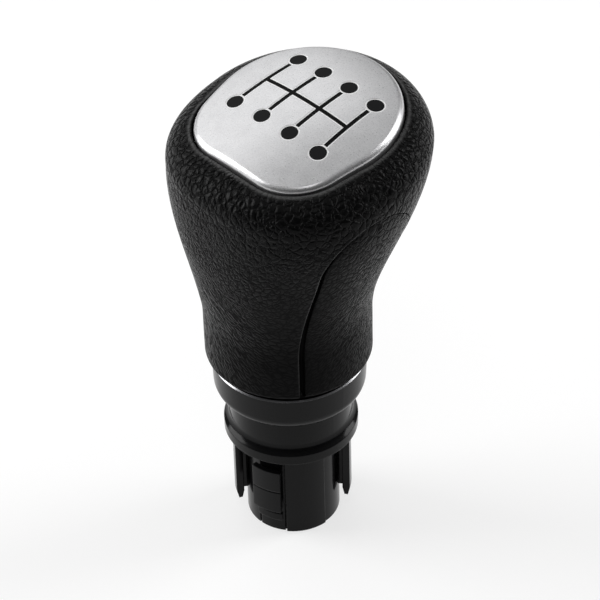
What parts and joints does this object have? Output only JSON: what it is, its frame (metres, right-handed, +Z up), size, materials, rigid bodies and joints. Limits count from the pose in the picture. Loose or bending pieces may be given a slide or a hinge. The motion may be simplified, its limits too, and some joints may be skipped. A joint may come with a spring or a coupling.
{
  "type": "gear shift knob",
  "caption": "Gear shift knob: leather-wrapped leaning head with a domed silver gate-pattern plate, a black trim cup and a spring-returned lift collar with snap hooks below it.",
  "frame": {"origin": "on the gear lever axis, in the plane of the stem's open end, which the knob stands on", "axes": "+Z up along the gear lever, +Y forward in the car, +X to the driver's right"},
  "size_m": [0.0546, 0.0542, 0.1092],
  "materials": {
    "silver": "satin metallic lacquer",
    "print": "satin",
    "leather": "pebbled grain",
    "black_plastic": "satin",
    "core_plastic": "matte",
    "steel": "plain",
    "bush_metal": "turned"
  },
  "bodies": {
    "head": {"shift_plate": "silver", "pattern_dots": "print", "pattern_lines": "print", "plate_carrier": "black_plastic", "carrier_screws": "steel", "leather_main": "leather", "leather_side_right": "leather", "leather_side_left": "leather", "knob_core": "core_plastic", "lower_trim_ring": "black_plastic", "return_spring": "steel", "spring_washer": "steel", "collar_retaining_ring": "steel", "lever_bush": "bush_metal", "lever_grip_ring": "steel"},
    "collar": {"lift_collar": "black_plastic"}
  },
  "joints": [
    {"name": "collar_lift", "type": "slide", "parent": "head", "child": "collar", "axis": [0, 0, 1], "range_m": [0, 0.005], "stiffness_N_per_m": 1000, "springref_m": -0.008, "deforming": ["return_spring"]}
  ]
}
